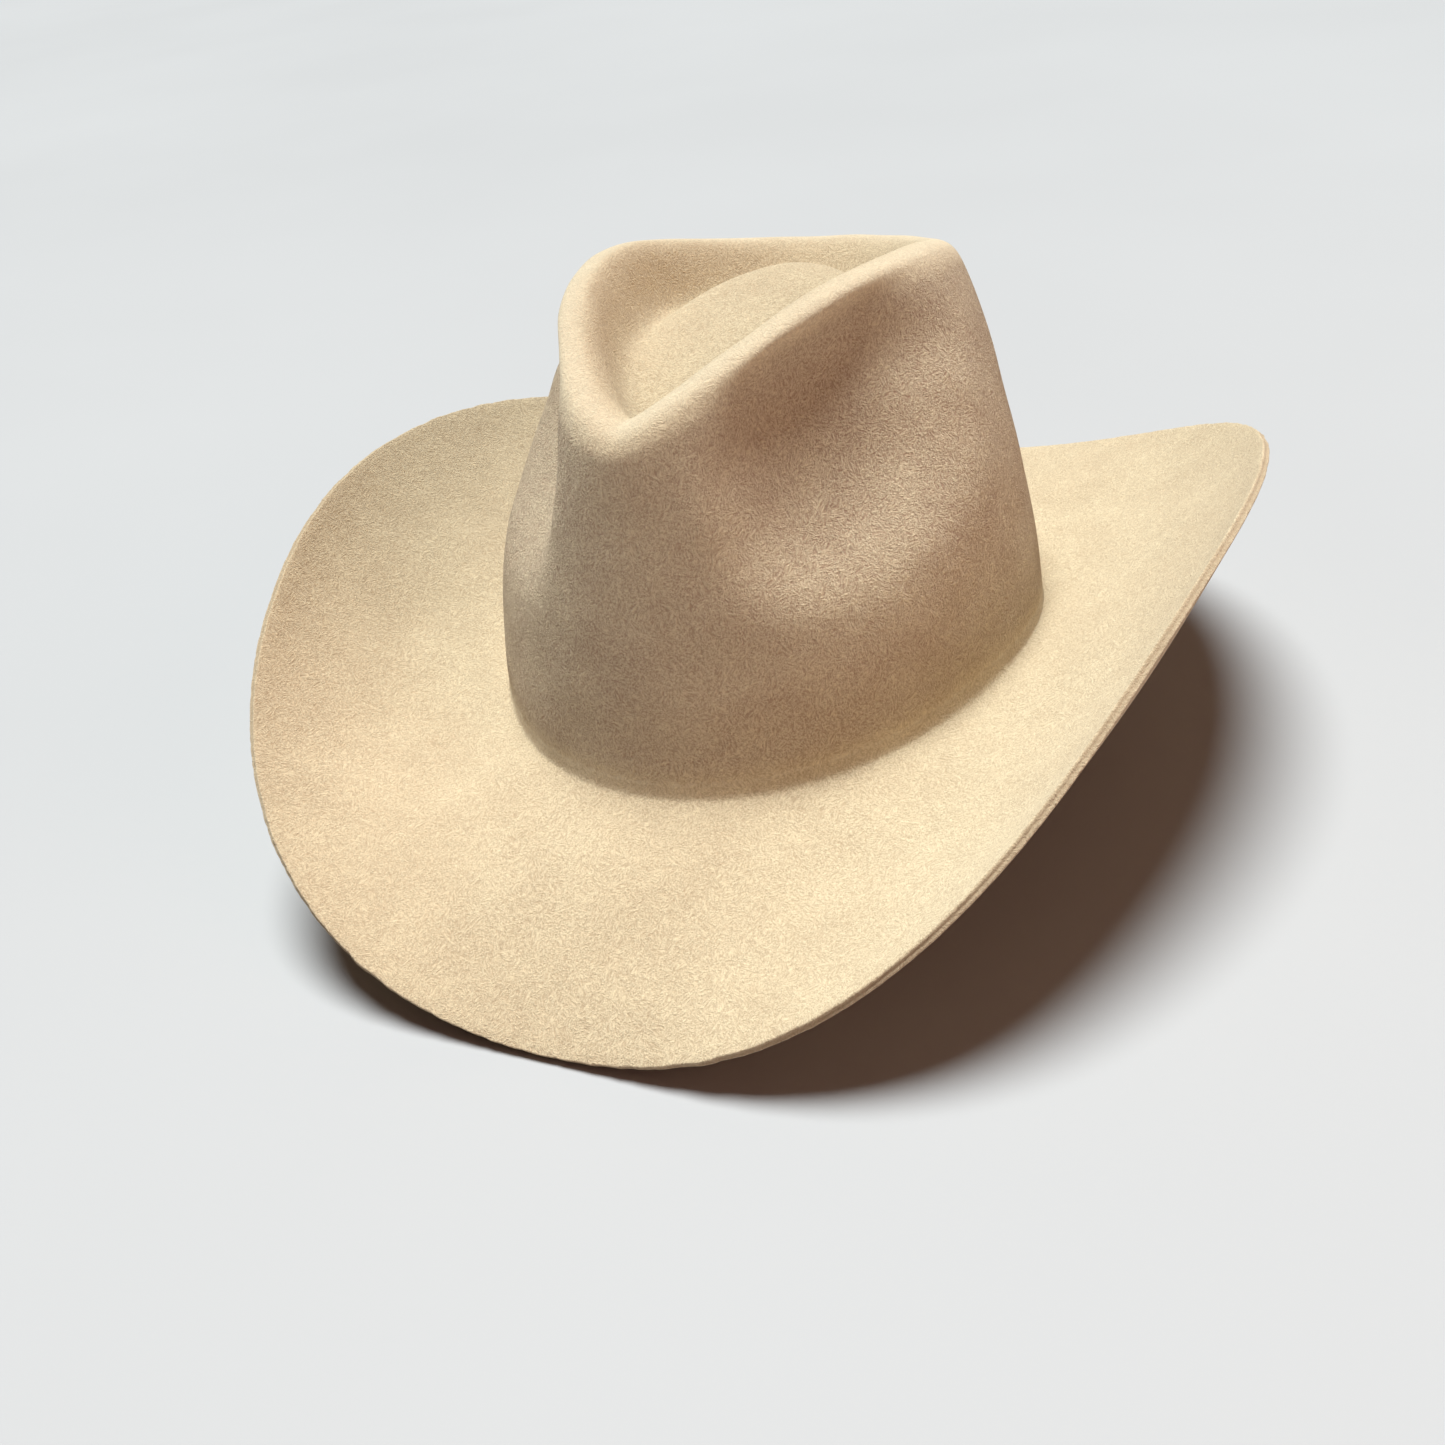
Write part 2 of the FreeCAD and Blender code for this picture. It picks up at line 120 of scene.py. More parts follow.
def around(stations, t):
    """Smooth even curve through stations spaced evenly from front (0) to back (pi)."""
    n = len(stations) - 1
    j = np.arange(n + 1)
    half = np.where(np.isin(j, (0, n)), 0.5, 1.0)
    total = 0.0
    for k in range(n + 1):
        c = (np.array(stations) * half * np.cos(math.pi * j * k / n)).sum() * 2.0 / n
        total = total + c * half[k] * np.cos(k * t)
    return total


def break_line(t):
    """The line where crown meets brim: its point, and the outward direction across it."""
    s, c = np.sin(t), np.cos(t)
    nx, ny = HEAD_HALF_LENGTH * s, -HEAD_HALF_WIDTH * c
    q = np.hypot(nx, ny)
    return (HEAD_HALF_WIDTH * s * (1.0 - EGG * c), -HEAD_HALF_LENGTH * c,
            around(BREAK_HEIGHT, t), nx / q, ny / q)


def ridge(t):
    """The folded ridge round the crease: a teardrop, pinched and blunt at the front."""
    blunt = RIDGE_BLUNT * np.exp(-(from_front(t) / RIDGE_BLUNT_SPREAD) ** 2)
    x = RIDGE_HALF_WIDTH * np.sin(t) * (np.abs(np.sin(t / 2.0)) + 1e-9) ** RIDGE_PINCH
    y = RIDGE_SHIFT - RIDGE_HALF_LENGTH * np.cos(t) + blunt
    return x, y, around(RIDGE_HEIGHT, t)


def dent(t, w):
    """Depth of the bowl pressed into each front side: a dish with a crisp lower lip."""
    up = WALL_UP * (w - DENT_LEVEL)
    along = WALL_ALONG * (from_front(t) - math.radians(DENT_ANGLE)) - DENT_TILT * up
    high = smooth(np.clip(up / DENT_BLEND, 0, 1))
    a = along / np.where(along < 0, DENT_FRONT, DENT_BACK + DENT_BACK_HIGH * high)
    b = up / np.where(up < 0, DENT_BELOW, DENT_ABOVE)
    square = 2.0 + DENT_SQUARE * high
    full = 1.0 - np.abs(a) ** square - np.abs(b) ** square
    soft = DENT_LIP + DENT_FADE * b * b * (up > 0)
    return DENT_DEPTH * 0.5 * (full + np.hypot(full, soft))


def wall(t, w):
    """Outer face of the crown wall; w is 0 at the brim and 1 just under the fold."""
    bx, by, bz, nx, ny = break_line(t)
    rx, ry, rz = ridge(t)
    lean = np.maximum(w, 0.0) ** around(WALL_TAPER, t)
    out, g = RIDGE_ROUND + FOLD_OUT, dent(t, w)
    x = bx + (rx + nx * out - bx) * lean - nx * g
    y = by + (ry + ny * out - by) * lean - ny * g
    return np.stack([x, y, bz + (rz - FOLD_DROP - bz) * w + 0 * t], -1)


def felt_cage():
    """Control points of the felt's outer face, in loops from the dome out to the brim's edge."""
    t = turns(CAGE)
    bx, by, bz, nx, ny = break_line(t)
    rx, ry, rz = ridge(t)
    deep, rows = around(CREASE_DEPTH, t), []
    # share of the way to the ridge, kind of height (dome, dome's flank, crease's flank, ridge)
    # and how far up that flank
    top_rows = ((0.10, 0, 0), (0.18, 0, 0), (0.40, 0, 0), (0.60, 1, 0.75), (0.71, 2, 0.0),
                (0.79, 2, 0.10), (0.85, 2, 0.52), (0.90, 2, 0.88), (0.95, 2, 1.06), (1.00, 3, 0.0))
    for k, kind, a in top_rows:
        y = DOME_CENTRE + (ry - DOME_CENTRE) * k
        dome = DOME_HEIGHT - (1.5 if k == 0.40 else 0.0) + DOME_SLOPE * (y - DOME_CENTRE)
        valley = rz - deep - (1.0 if k == 0.71 else 0.0)
        z = (dome, valley + a * (dome - valley), valley + a * deep, rz + 1.5)[kind]
        rows.append(np.stack([rx * k, y, z], -1))
    rows.append(np.stack([rx + nx * RIDGE_ROUND, ry + ny * RIDGE_ROUND, rz + 0.5], -1))
    rows += [wall(t, w) for w in [1.0] + [0.95 - 0.07 * i for i in range(13)] + [0.05]]
    rows.append(np.stack([bx, by, bz], -1))
    rows.append(np.stack([bx + nx, by + ny, bz - 0.3], -1))
    steps = 40
    wide = around(BRIM_WIDTH, t)
    a0, a1 = around(BRIM_ROOT_SLOPE, t), around(BRIM_EDGE_SLOPE, t)
    a = np.radians(a0 + (a1 - a0) * (((np.arange(steps) + 0.5) / steps) ** BRIM_BEND)[:, None])
    zero = np.zeros((1, CAGE))
    out = np.concatenate([zero, np.cumsum(np.cos(a) * wide / steps, 0)])
    up = np.concatenate([zero, np.cumsum(np.sin(a) * wide / steps, 0)])
    for s in (0.05, 0.18, 0.36, 0.54, 0.72, 0.88, 1.0):
        i = min(int(s * steps), steps - 1)
        f = s * steps - i
        h, v = (q[i] * (1 - f) + q[i + 1] * f for q in (out, up))
        rows.append(np.stack([bx + nx * h, by + ny * h, bz + v], -1))
    return np.array(rows)


def unit(v):
    """Vectors of length 1."""
    return v / np.maximum(np.linalg.norm(v, axis=-1, keepdims=True), 1e-12)


def inner_cage(rows, depth):
    """The same control points, moved in by the felt's thickness."""
    step = unit(rows[1:] - rows[:-1])
    before = np.concatenate([step[:1], step])
    after = np.concatenate([step, step[-1:]])
    side = np.roll(rows, -1, 1) - np.roll(rows, 1, 1)
    n = unit(np.cross(unit(before + after), side))
    miter = np.maximum(0.8, np.sqrt(0.5 + 0.5 * (before * after).sum(-1, keepdims=True)))
    return rows - n * depth / miter


def row_basis(count, u):
    """Clamped cubic B-spline basis."""
    knots = np.concatenate([[0] * 3, np.linspace(0, 1, count - 2), [1] * 3])
    u = np.clip(u, 0, 1 - 1e-12)[:, None]
    base = ((knots[:-1] <= u) & (u < knots[1:])).astype(float)
    for d in range(1, 4):
        lo, hi = knots[:-1 - d], knots[d:-1]
        a = np.where(hi > lo, (u - lo) / np.where(hi > lo, hi - lo, 1), 0) * base[:, :-1]
        lo, hi = knots[1:-d], knots[1 + d:]
        b = np.where(hi > lo, (hi - u) / np.where(hi > lo, hi - lo, 1), 0) * base[:, 1:]
        base = a + b
    return base


def loop_basis(count, samples):
    """Periodic cubic B-spline basis."""
    base = np.zeros((samples, count))
    for i in range(samples):
        x = i * count / samples
        j, f = int(x), x - int(x)
        for q, c in enumerate(((1 - f) ** 3, 3 * f ** 3 - 6 * f * f + 4,
                               -3 * f ** 3 + 3 * f * f + 3 * f + 1, f ** 3)):
            base[i, (j - 1 + q) % count] += c / 6
    return base


def surface(cage, u, samples):
    """Points of the surface that the control points shape, at rows u and evenly spaced turns."""
    flat = np.tensordot(row_basis(len(cage), u), cage, (1, 0))
    return np.moveaxis(np.tensordot(flat, loop_basis(CAGE, samples), (1, 1)), 2, 1)


def level(t, h):
    """Height of a lining line: it follows the break line low down and is flat at the tip."""
    return h + break_line(t)[2] * (1.0 - (np.maximum(h, 0.0) / LINER_TOP) ** 4)


def behind_wall(t, depth, h):
    """Point a given depth in from the outer face of the wall, at lining height h."""
    t, depth, h = np.broadcast_arrays(*(np.asarray(v, float) for v in (t, depth, h)))

    def face(a, z):
        bz = break_line(a)[2]
        return wall(a, (z - bz) / (ridge(a)[2] - FOLD_DROP - bz))[..., :2]
    z = level(t, h)
    p = face(t, z)
    tangent = unit(face(t + 0.01, z) - face(t - 0.01, z))
    n = np.stack([tangent[..., 1], -tangent[..., 0]], -1)
    lean = ((face(t, z + 0.5) - face(t, z - 0.5)) * n).sum(-1)
    out = depth * np.minimum(1.8, np.sqrt(1.0 + lean * lean))
    return np.concatenate([p - n * out[..., None], z[..., None]], -1)


def inside(t, depth, h):
    """The same point eased round the hat, as leather and cloth bridge the lip of the dent."""
    near = np.array([-0.12, -0.06, 0.0, 0.06, 0.12])
    share = np.exp(-0.5 * (near / 0.075) ** 2)
    return sum(w * behind_wall(t + turn, depth, h) for w, turn in zip(share / share.sum(), near))


def waves(points, size, count=22, seed=1):
    """Smooth seeded noise of about unit height with features of the given size."""
    r = np.random.default_rng(seed)
    total = np.zeros(points.shape[:-1])
    for _ in range(count):
        d = r.normal(size=3)
        k = d / np.linalg.norm(d) * 2 * math.pi / size / r.uniform(0.7, 1.5)
        total += np.sin(points @ k + r.uniform(0, 6.28))
    return total / math.sqrt(count / 2)


# ------------------------------------------------------------------ mesh helpers
def make(name, verts, faces, node, slot, attributes=None):
    """Object from points in millimetres; it rides on the one body and stands for a CAD node."""
    mesh = bpy.data.meshes.new(name)
    verts = np.asarray(verts, float).reshape(-1, 3) * MM
    mesh.from_pydata(verts.tolist(), [], faces)
    for key, values in (attributes or {}).items():
        layer = mesh.attributes.new(key, "FLOAT", "POINT")
        layer.data.foreach_set("value", np.asarray(values, np.float32).ravel())
    mesh.validate()
    mesh.update()
    mesh.polygons.foreach_set("use_smooth", np.full(len(mesh.polygons), True))
    made = bpy.data.objects.new(name, mesh)
    bpy.context.scene.collection.objects.link(made)
    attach(made, "root")
    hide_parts(node)
    return made


def grid_faces(rows, cols, start=0, loop=True, ring=False):
    """Quads over a grid of points; loop closes each row, ring joins the last row to the first."""
    faces = []
    for r in range(rows if ring else rows - 1):
        a, b = start + r * cols, start + ((r + 1) % rows) * cols
        for c in range(cols if loop else cols - 1):
            d = (c + 1) % cols
            faces.append((a + c, a + d, b + d, b + c))
    return faces


def section(path, thick):
    """Closed outline round a path of (depth, height) points, with rounded ends."""
    tip = 4                                  # steps round each end
    path = np.array(path, float)
    along = unit(np.gradient(path, axis=0))
    side = np.stack([-along[:, 1], along[:, 0]], -1) * thick / 2
    out = list(path + side)
    for k in range(1, tip):
        a = math.pi * k / tip
        out.append(path[-1] + side[-1] * math.cos(a) + along[-1] * math.sin(a) * thick / 2)
    out += list((path - side)[::-1])
    for k in range(1, tip):
        a = math.pi * k / tip
        out.append(path[0] - side[0] * math.cos(a) - along[0] * math.sin(a) * thick / 2)
    return np.array(out)


def band(name, path, thick, samples, shape=None, **more):
    """Thin closed band round the inside of the crown."""
    outline = section(path, thick)
    t = turns(samples)
    depth = np.repeat(outline[:, :1], samples, 1)
    h = np.repeat(outline[:, 1:], samples, 1)
    if shape:
        depth, h = shape(t, depth, h)
    points = inside(t, depth, h)
    faces = grid_faces(len(outline), samples, ring=True)
    return make(name, points, faces, attributes={"up": h, "turn": t + 0 * h}, **more)


def strip(name, path, thick, angle, wide, shape, **more):
    """Short length of tape or cloth lying inside the crown."""
    columns = 25
    outline = section(path, thick)
    ahead, behind = (inside(angle + turn, *path[0]) for turn in (0.005, -0.005))
    t = angle + np.linspace(-0.5, 0.5, columns) * wide / (np.linalg.norm(ahead - behind) / 0.01)
    depth = np.repeat(outline[:, :1], columns, 1)
    h = np.repeat(outline[:, 1:], columns, 1)
    across = np.linspace(-1, 1, columns) + 0 * h
    depth, h = shape(across, depth, h)
    points = inside(t, depth, h).transpose(1, 0, 2)
    n = len(outline)
    faces = grid_faces(columns, n)
    faces += [tuple(range(n))[::-1], tuple(range((columns - 1) * n, columns * n))]
    return make(name, points, faces, attributes={"up": h.T, "across": across.T}, **more)


def tube(points, radius, sides, closed=False):
    """Vertices and faces of a round cord along points; open cords get pointed ends."""
    p = np.asarray(points, float)
    n = len(p)
    tangent = unit(np.roll(p, -1, 0) - np.roll(p, 1, 0)) if closed else unit(np.gradient(p, axis=0))
    side = unit(np.cross(tangent, (0.0, 0.0, 1.0)))
    top = np.cross(side, tangent)
    a = turns(sides)
    r = np.broadcast_to(np.asarray(radius, float), (n,))
    ring = side[:, None] * np.cos(a)[None, :, None] + top[:, None] * np.sin(a)[None, :, None]
    verts = (p[:, None] + ring * r[:, None, None]).reshape(-1, 3)
    faces = grid_faces(n, sides, ring=closed)
    if not closed:
        ends = [p[0] - tangent[0] * r[0] * 0.6, p[-1] + tangent[-1] * r[-1] * 0.6]
        verts = np.concatenate([verts, ends])
        for c in range(sides):
            d = (c + 1) % sides
            faces.append((n * sides, d, c))
            faces.append((n * sides + 1, (n - 1) * sides + c, (n - 1) * sides + d))
    return verts, faces


def shell(rings, heads):
    """Vertices and faces of stacked loops, closed at each end by a fan round a head point."""
    count, samples = rings.shape[:2]
    faces = grid_faces(count, samples)
    first, last = count * samples, (count - 1) * samples
    for c in range(samples):
        d = (c + 1) % samples
        faces += [(first, d, c), (first + 1, last + c, last + d)]
    return np.concatenate([rings.reshape(-1, 3), heads]), faces


def join(parts):
    """One set of vertices and faces from several."""
    verts, faces, total = [], [], 0
    for v, f in parts:
        verts.append(v)
        faces += [tuple(i + total for i in q) for q in f]
        total += len(v)
    return np.concatenate(verts), faces


# ------------------------------------------------------------------ materials
class Shader:
    """A Principled material; plain values sit on the shader, patterns come from nodes."""

    def __init__(self, name, **values):
        """Start the material; a plain value is named after its socket, with _ for a space."""
        self.mat = bpy.data.materials.new(name)
        self.mat.use_nodes = True
        self.tree = self.mat.node_tree
        self.bsdf = self.tree.nodes["Principled BSDF"]
        for key, value in values.items():
            self.bsdf.inputs[key.replace("_", " ")].default_value = value
        self.coord = self.put("ShaderNodeTexCoord").outputs["Object"]

    def put(self, kind, props=None, **inputs):
        """Add a node; an input is a socket's name, or i and its number, and a value or a link."""
        node = self.tree.nodes.new(kind)
        for key, value in (props or {}).items():
            setattr(node, key, value)
        for key, value in inputs.items():
            numbered = key[0] == "i" and key[1:].isdigit()
            socket = node.inputs[int(key[1:]) if numbered else key.replace("_", " ")]
            if isinstance(value, bpy.types.NodeSocket):
                self.tree.links.new(value, socket)
            else:
                socket.default_value = value
        return node

    def link(self, socket, name):
        self.tree.links.new(socket, self.bsdf.inputs[name])

    def math(self, op, a, b=0.0, clamp=False):
        props = {"operation": op, "use_clamp": clamp}
        return self.put("ShaderNodeMath", props, i0=a, i1=b).outputs[0]

    def scaled(self, factors, vector=None):
        return self.put("ShaderNodeVectorMath", {"operation": "MULTIPLY"},
                        i0=vector or self.coord, i1=factors).outputs[0]

    def noise(self, scale, detail=3.0, rough=0.55, vector=None):
        return self.put("ShaderNodeTexNoise", None, Vector=vector or self.coord, Scale=scale,
                        Detail=detail, Roughness=rough).outputs[0]

    def ramp(self, value, low, high, to_low=0.0, to_high=1.0):
        """Ease from one value to another as the input runs from low to high."""
        return self.put("ShaderNodeMapRange", {"interpolation_type": "SMOOTHSTEP"},
                        i0=value, i1=low, i2=high, i3=to_low, i4=to_high).outputs[0]

    def mix(self, factor, a, b):
        node = self.put("ShaderNodeMix", {"data_type": "RGBA", "blend_type": "MIX"}, i0=factor)
        for socket, value in ((node.inputs[6], a), (node.inputs[7], b)):
            if isinstance(value, bpy.types.NodeSocket):
                self.tree.links.new(value, socket)
            else:
                socket.default_value = (*value, 1.0)
        return node.outputs[2]

    def attribute(self, name):
        return self.put("ShaderNodeAttribute", {"attribute_name": name}).outputs["Fac"]

    def bump(self, height, strength, distance):
        """Relief for the shader's normal, its depth in metres."""
        node = self.put("ShaderNodeBump", None, Strength=strength, Distance=distance, Height=height)
        self.link(node.outputs[0], "Normal")

    def fibres(self, cell, long, thin):
        """Short fibres lying every way: stretched noise turned at random in small patches (mm)."""
        cells = self.put("ShaderNodeTexVoronoi", None, Vector=self.coord, Scale=1000.0 / cell)
        spin = self.scaled((6.28,) * 3, cells.outputs["Color"])
        turned = self.put("ShaderNodeVectorRotate", {"rotation_type": "EULER_XYZ"},
                          Vector=self.coord, Rotation=spin).outputs[0]
        return self.noise(1.0, 2.0, 0.6, self.scaled((1000 / long, 1000 / thin, 1000 / thin), turned))


def felt_material():
    """Wool felt: short matted nap over darker root fibres, with soft clouds of tone; painted shade on
    the crown's wall and in the cut edge, and a painted highlight on the ridge.
    """
    s = Shader("felt", Roughness=0.95, Sheen_Weight=0.15, Sheen_Roughness=0.45,
               Sheen_Tint=(1.0, 0.93, 0.80, 1.0), Specular_IOR_Level=0.15, Diffuse_Roughness=0.8)
    coarse = s.fibres(3.2, 2.8, 0.60)
    fine = s.fibres(1.8, 1.6, 0.36)
    nap = s.math("ADD", s.math("MULTIPLY", coarse, 0.55), s.math("MULTIPLY", fine, 0.45))
    cloud = s.noise(55, 3, 0.5)
    wide = s.noise(16, 2, 0.5)
    drift = s.math("MULTIPLY", s.math("SUBTRACT", cloud, 0.5), 0.5)
    tone = s.math("ADD", s.ramp(nap, 0.36, 0.64), drift)
    # painted shade: the crown's wall, which stands in shade, is painted darker and redder-brown; its nap
    # relief is also deeper there
    wall_shade_and_nap = s.attribute("nap")
    roots_and_wall_shade = s.mix(wall_shade_and_nap, (0.47, 0.35, 0.22), (0.385, 0.24, 0.158))
    colour = s.mix(s.math("ADD", s.math("MULTIPLY", tone, 0.80), 0.12, clamp=True),
                   roots_and_wall_shade, (0.765, 0.645, 0.435))
    colour = s.mix(s.ramp(wide, 0.35, 0.65, 0.0, 0.16), colour, (0.62, 0.48, 0.31))
    # painted highlight: the folded ridge is painted lighter, where the light from above falls on it
    colour = s.mix(s.math("MULTIPLY", s.attribute("ridge_highlight"), 0.42), colour, (0.88, 0.77, 0.57))
    # painted shade: the raw-cut edge is painted a little darker in the middle of its thickness, where
    # its groove lies in shade
    cut = s.attribute("cut")
    colour = s.mix(s.math("MULTIPLY", cut, 0.55), colour, (0.40, 0.29, 0.18))
    # a few dark flecks of vegetable fibre left in the wool
    fleck = s.put("ShaderNodeTexVoronoi", None, Vector=s.coord, Scale=34.0)
    size = s.math("ADD", s.math("MULTIPLY", s.noise(300, 2), 0.02), 0.006)
    chance = s.put("ShaderNodeSeparateColor", None, Color=fleck.outputs["Color"]).outputs[0]
    rare = s.math("GREATER_THAN", chance, 0.82)
    spot = s.math("MULTIPLY", s.math("LESS_THAN", fleck.outputs["Distance"], size), rare)
    colour = s.mix(s.math("MULTIPLY", spot, 0.7), colour, (0.16, 0.10, 0.06))
    # where the sweatband is sewn in, the wall carries a faint pressed line
    line = s.attribute("sewn")
    broken = s.math("MULTIPLY", line, s.ramp(s.noise(420, 2), 0.42, 0.6))
    colour = s.mix(s.math("MULTIPLY", broken, 0.45), colour, (0.80, 0.70, 0.52))
    s.link(colour, "Base Color")
    height = s.math("SUBTRACT", s.math("ADD", nap, s.math("MULTIPLY", s.noise(240, 3, 0.6), 0.5)),
                    s.math("MULTIPLY", line, 0.25))
    height = s.math("MULTIPLY", height, s.ramp(wall_shade_and_nap, 0.0, 1.0, 0.6, 1.15))
    s.bump(height, 1.0, 0.0016)
    return s.mat


def leather_material():
    """Roan leather: a fine pebbled grain and a darker top edge."""
    s = Shader("leather", Specular_IOR_Level=0.45, Coat_Weight=0.08, Coat_Roughness=0.35)
    stray = s.put("ShaderNodeTexNoise", None, Vector=s.coord, Scale=400.0).outputs["Color"]
    strayed = s.put("ShaderNodeVectorMath", {"operation": "ADD"},
                    i0=s.coord, i1=s.scaled((0.0006,) * 3, stray)).outputs[0]
    cells = s.put("ShaderNodeTexVoronoi", {"feature": "DISTANCE_TO_EDGE"}, Vector=strayed, Scale=760.0)
    grain = s.ramp(cells.outputs["Distance"], 0.0, 0.16)
    cloud = s.noise(45, 4, 0.6)
    colour = s.mix(s.ramp(cloud, 0.3, 0.7), (0.34, 0.185, 0.085), (0.47, 0.275, 0.135))
    colour = s.mix(s.ramp(grain, 0, 1, 0.4, 0.0), colour, (0.17, 0.085, 0.04))
    edge = s.ramp(s.attribute("up"), LEATHER_TOP - 1.4, LEATHER_TOP - 0.2)
    colour = s.mix(s.math("MULTIPLY", edge, 0.6), colour, (0.20, 0.11, 0.055))
    s.link(colour, "Base Color")
    s.link(s.ramp(grain, 0, 1, 0.62, 0.42), "Roughness")
    s.bump(s.math("ADD", grain, s.math("MULTIPLY", s.noise(900, 3), 0.4)), 0.35, 0.0002)
    return s.mat


def cloth_material(name, dark, light, along, across,
                   rough=0.8, sheen=0.2, gloss=0.3, relief=0.5, twill=0.0):
    """Woven cloth drawn in the hat's own turn and height, in threads per millimetre."""
    s = Shader(name, Sheen_Weight=sheen, Sheen_Roughness=0.4, Specular_IOR_Level=gloss)
    place = s.put("ShaderNodeSeparateXYZ", None, Vector=s.coord)
    x, y, z = place.outputs
    turn = s.math("MULTIPLY", s.math("ARCTAN2", x, y), HEAD_RADIUS)
    h = s.math("MULTIPLY", z, 1000.0)
    wobble = s.math("MULTIPLY", s.noise(160, 2), 0.6)
    warp = s.math("SINE", s.math("MULTIPLY", s.math("ADD", turn, wobble), 6.283 * along))
    lean = s.math("ADD", s.math("ADD", h, wobble), s.math("MULTIPLY", turn, twill))
    weft = s.math("SINE", s.math("MULTIPLY", lean, 6.283 * across))
    thread = s.math("MULTIPLY", s.math("ADD", s.math("ADD", warp, weft), 2.0), 0.25)
    cloud = s.noise(70, 3)
    tone = s.math("ADD", s.math("MULTIPLY", thread, 0.55), s.math("MULTIPLY", cloud, 0.55), clamp=True)
    s.link(s.mix(tone, dark, light), "Base Color")
    s.link(s.ramp(cloud, 0.3, 0.7, rough - 0.07, rough + 0.07), "Roughness")
    s.bump(s.math("ADD", thread, s.math("MULTIPLY", s.noise(500, 2), 0.3)), relief, 0.00025)
    return s.mat


def thread_material():
    """Waxed thread, with its plies drawn along the hat's height."""
    s = Shader("thread", Sheen_Weight=0.2, Specular_IOR_Level=0.4)
    ply = s.noise(1.0, 2, 0.5, s.scaled((900, 900, 2600)))
    s.link(s.mix(s.ramp(ply, 0.35, 0.65), (0.42, 0.33, 0.21), (0.74, 0.64, 0.46)), "Base Color")
    s.link(s.ramp(ply, 0.3, 0.7, 0.5, 0.7), "Roughness")
    s.bump(ply, 0.5, 0.0002)
    return s.mat


def plastic_material():
    """Milky plastic of the reed."""
    s = Shader("reed_plastic", Specular_IOR_Level=0.5)
    cloud = s.noise(140, 3)
    s.link(s.mix(cloud, (0.55, 0.52, 0.44), (0.66, 0.63, 0.55)), "Base Color")
    s.link(s.ramp(cloud, 0.3, 0.7, 0.35, 0.5), "Roughness")
    s.bump(s.noise(600, 2), 0.15, 0.0001)
    return s.mat


def vinyl_material():
    """Clear sheet, made thin to the eye by its alpha."""
    s = Shader("clear_vinyl", Alpha=0.13, IOR=1.45, Specular_IOR_Level=0.6)
    cloud = s.noise(30, 3)
    s.link(s.mix(cloud, (0.93, 0.95, 0.94), (1.0, 1.0, 1.0)), "Base Color")
    s.link(s.ramp(cloud, 0.3, 0.7, 0.04, 0.12), "Roughness")
    s.bump(s.noise(26, 2), 0.2, 0.0006)
    return s.mat


def floor_material():
    """Plain pale studio floor."""
    s = Shader("floor", Specular_IOR_Level=0.2)
    cloud = s.noise(1.5, 4)
    s.link(s.mix(cloud, (0.37, 0.365, 0.36), (0.41, 0.405, 0.40)), "Base Color")
    s.link(s.ramp(cloud, 0.3, 0.7, 0.75, 0.9), "Roughness")
    return s.mat


def wear(piece, material):
    """Give a piece its one material."""
    piece.data.materials.clear()
    piece.data.materials.append(material)
    return piece


# ------------------------------------------------------------------ crown and brim
def hand_blocked(rings, outer_count, rim_count):
    """Low swells, because felt blocked by hand is never perfectly fair; the edge stays true."""
    n = unit(np.cross(np.roll(rings, -1, 1) - np.roll(rings, 1, 1), np.gradient(rings, axis=0)))
    n[outer_count + rim_count // 2:] *= -1.0
    swell = waves(rings, 75.0, 24, 11) * 0.35 + waves(rings, 24.0, 30, 12) * 0.10
    rim_end, fade = outer_count + rim_count, 12
    swell[outer_count - 1:rim_end + 1] *= 0.0
    for side in (slice(outer_count - 1 - fade, outer_count - 1), slice(rim_end + fade, rim_end, -1)):
        swell[side] *= np.linspace(1, 0, fade)[:, None]
    return rings - n * swell[..., None]


